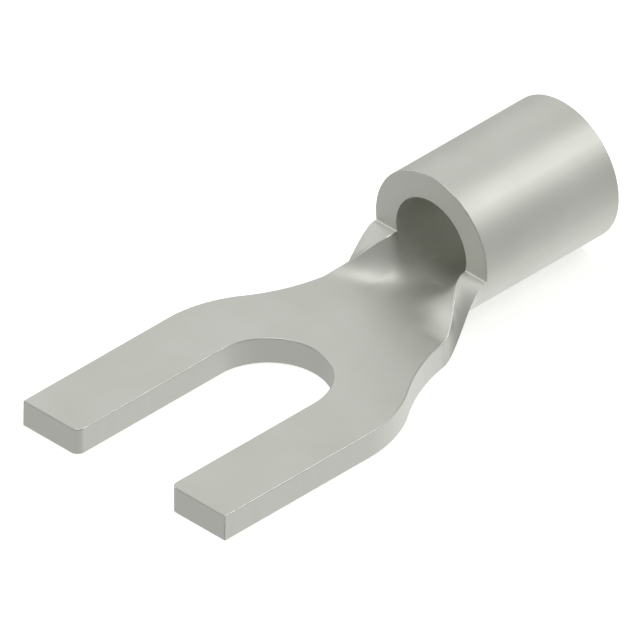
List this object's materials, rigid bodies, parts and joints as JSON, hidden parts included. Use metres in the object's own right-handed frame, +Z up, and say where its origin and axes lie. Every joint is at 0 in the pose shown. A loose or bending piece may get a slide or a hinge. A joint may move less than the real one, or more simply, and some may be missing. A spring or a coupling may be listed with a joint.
{
  "type": "uninsulated fork terminal",
  "caption": "Uninsulated crimp terminal with a flat open fork that slides under a screw head, curled up at the back into a closed round barrel for the bare wire.",
  "frame": {"origin": "centre of the slot's round end, on the underside of the tongue", "axes": "+X along the barrel towards the wire, +Y across the prongs, +Z up out of the seat, along the screw"},
  "size_m": [0.021, 0.0096, 0.0053],
  "materials": {
    "tinned_copper": "satin tin plating on copper sheet"
  },
  "bodies": {
    "root": {"fork_terminal": "tinned_copper"}
  },
  "joints": []
}
